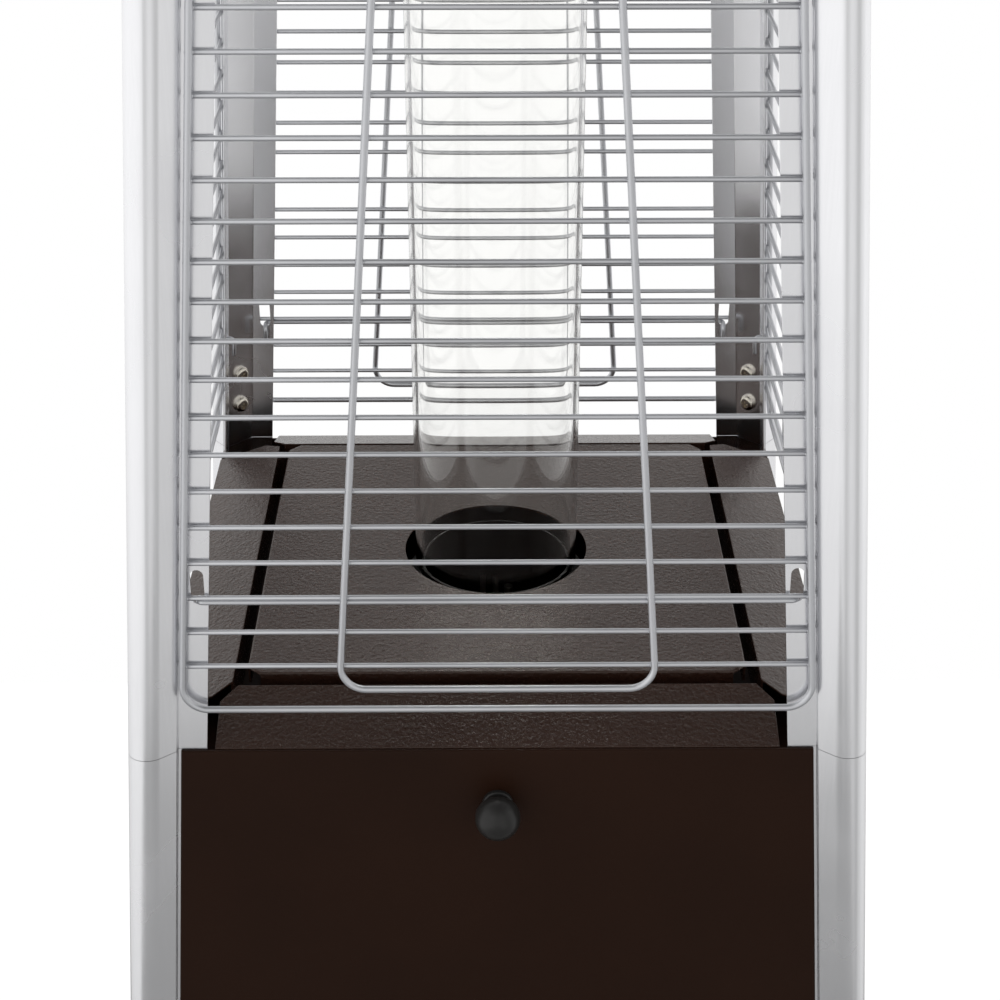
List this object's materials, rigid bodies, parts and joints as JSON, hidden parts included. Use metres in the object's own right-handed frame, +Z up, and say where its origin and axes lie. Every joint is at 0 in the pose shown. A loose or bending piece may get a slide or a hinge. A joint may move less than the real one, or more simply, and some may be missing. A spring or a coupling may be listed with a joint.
{
  "type": "portable gas heater",
  "caption": "Tapering four-legged gas patio heater with a glass flame tube, wire guards, a closed cabinet and a square reflector.",
  "frame": {"origin": "on the floor under the middle of the glass tube", "axes": "+X to the right seen from the door, +Y from the door to the control panel, +Z up"},
  "size_m": [0.56, 0.56, 2.2608],
  "materials": {
    "leg_metal": "satin, finely drawn along the leg",
    "cabinet_paint": "dark bronze paint, semi-gloss, finely textured",
    "plate_paint": "grey-brown hammered paint, satin",
    "wire": "plated wire, satin",
    "tube_glass": "clear heat-proof glass",
    "zinc_steel": "zinc-plated sheet",
    "burner_steel": "stainless sheet, heat tinted",
    "screw_chrome": "bright plated",
    "pull_plastic": "dark grey, semi-gloss",
    "brass_fitting": "machined",
    "valve_metal": "die-cast",
    "pipe_metal": "drawn tube",
    "black_plastic": "fine grain",
    "gloss_black": "gloss",
    "gasket_fibre": "pressed glass fibre",
    "lead_sleeve": "heat-proof sleeve",
    "wheel_plastic": "moulded",
    "reflector_metal": "bright rolled sheet"
  },
  "bodies": {
    "frame": {"upper_leg_front_left": "leg_metal", "lower_leg_front_left": "leg_metal", "upper_leg_front_right": "leg_metal", "lower_leg_front_right": "leg_metal", "upper_leg_rear_right": "leg_metal", "lower_leg_rear_right": "leg_metal", "upper_leg_rear_left": "leg_metal", "lower_leg_rear_left": "leg_metal", "leg_connectors": "zinc_steel", "leg_screws": "screw_chrome", "sheet_screws": "screw_chrome", "foot_caps": "black_plastic", "base_pan": "cabinet_paint", "axle": "zinc_steel", "axle_brackets": "zinc_steel", "side_panel_right": "cabinet_paint", "side_panel_left": "cabinet_paint", "rear_panel": "cabinet_paint", "control_panel": "cabinet_paint", "magnet_catch": "black_plastic", "hinge_brackets": "zinc_steel", "apron_frame": "cabinet_paint", "burner_tray": "zinc_steel", "burner_plate": "plate_paint", "plate_stand_offs": "zinc_steel", "glass_tube": "tube_glass", "tube_gasket": "gasket_fibre", "burner_pot": "burner_steel", "burner_head": "burner_steel", "venturi": "burner_steel", "gas_jet": "brass_fitting", "heat_shield": "zinc_steel", "gas_valve": "valve_metal", "gas_inlet": "brass_fitting", "gas_pipe": "pipe_metal", "pilot_burner": "pipe_metal", "thermocouple": "brass_fitting", "spark_electrode": "lead_sleeve", "igniter_body": "gloss_black", "tilt_switch": "black_plastic", "head_plate": "cabinet_paint", "tube_collar": "zinc_steel", "flame_screen": "burner_steel", "reflector": "reflector_metal", "reflector_studs": "zinc_steel", "reflector_nuts": "screw_chrome"},
    "door": {"door_panel": "cabinet_paint", "door_frame": "zinc_steel", "door_pull": "pull_plastic", "pull_screw": "screw_chrome", "hinge_ears": "zinc_steel"},
    "valve_stem": {"valve_stem": "zinc_steel"},
    "control_knob": {"control_knob": "black_plastic"},
    "igniter_button": {"igniter_button": "gloss_black"},
    "wheel_left": {"wheel_left": "wheel_plastic"},
    "wheel_right": {"wheel_right": "wheel_plastic"},
    "guard_front": {"guard_front": "wire"},
    "guard_right": {"guard_right": "wire"},
    "guard_rear": {"guard_rear": "wire"},
    "guard_left": {"guard_left": "wire"}
  },
  "joints": [
    {"name": "door_hinge", "type": "hinge", "parent": "frame", "child": "door", "pos_m": [0, -0.24556, 0.062], "axis": [1, 0, 0], "range_deg": [0, 90]},
    {"name": "knob_push", "type": "slide", "parent": "frame", "child": "valve_stem", "axis": [0, -0.9975, -0.0708], "range_m": [0, 0.004], "stiffness_N_per_m": 600, "springref_m": -0.002},
    {"name": "knob_turn", "type": "hinge", "parent": "valve_stem", "child": "control_knob", "pos_m": [0.06, 0.20431, 0.68519], "axis": [0, 0.9975, 0.0708], "range_deg": [0, 180]},
    {"name": "igniter_push", "type": "slide", "parent": "frame", "child": "igniter_button", "axis": [0, -0.9975, -0.0708], "range_m": [0, 0.006], "stiffness_N_per_m": 500, "springref_m": -0.002},
    {"name": "wheel_left_spin", "type": "hinge", "parent": "frame", "child": "wheel_left", "pos_m": [-0.154, 0.238, 0.042], "axis": [1, 0, 0], "continuous": true},
    {"name": "wheel_right_spin", "type": "hinge", "parent": "frame", "child": "wheel_right", "pos_m": [0.154, 0.238, 0.042], "axis": [1, 0, 0], "continuous": true},
    {"name": "guard_front_lift", "type": "slide", "parent": "frame", "child": "guard_front", "axis": [0, 0.0708, 0.9975], "range_m": [0, 0.016]},
    {"name": "guard_right_lift", "type": "slide", "parent": "frame", "child": "guard_right", "axis": [-0.0708, 0, 0.9975], "range_m": [0, 0.016]},
    {"name": "guard_rear_lift", "type": "slide", "parent": "frame", "child": "guard_rear", "axis": [0, -0.0708, 0.9975], "range_m": [0, 0.016]},
    {"name": "guard_left_lift", "type": "slide", "parent": "frame", "child": "guard_left", "axis": [0.0708, 0, 0.9975], "range_m": [0, 0.016]}
  ]
}
